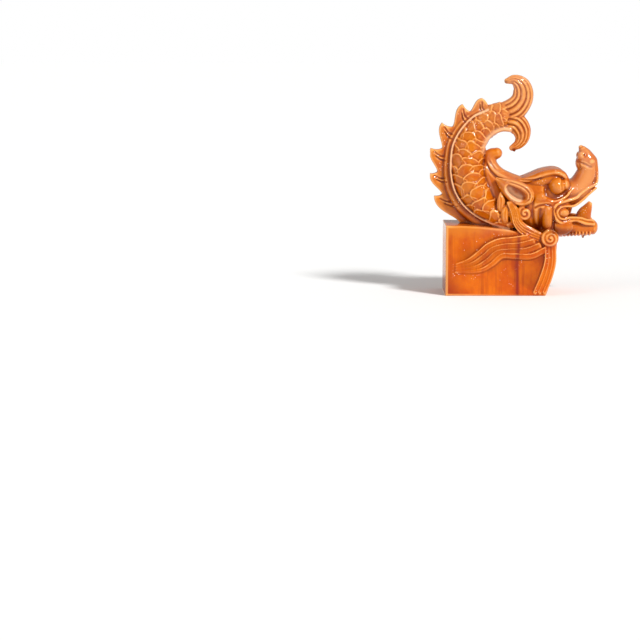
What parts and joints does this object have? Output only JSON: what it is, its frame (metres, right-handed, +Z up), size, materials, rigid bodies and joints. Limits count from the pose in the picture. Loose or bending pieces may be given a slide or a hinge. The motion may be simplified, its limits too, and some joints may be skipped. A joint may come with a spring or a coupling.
{
  "type": "ridge beast ornament",
  "caption": "Glazed ceramic ridge-end ornament: a horned fish-dragon with scaled body, forked tail and open mouth on a rectangular block.",
  "frame": {"origin": "on the flat bed, under the middle of the block's length", "axes": "+Z up, +X towards the muzzle, both flanks alike about Y = 0"},
  "size_m": [0.3387, 0.1492, 0.438],
  "materials": {
    "glaze": "glossy amber glaze, darker where it pools and pale on thin edges"
  },
  "bodies": {
    "root": {"ridge_beast": "glaze"}
  },
  "joints": []
}
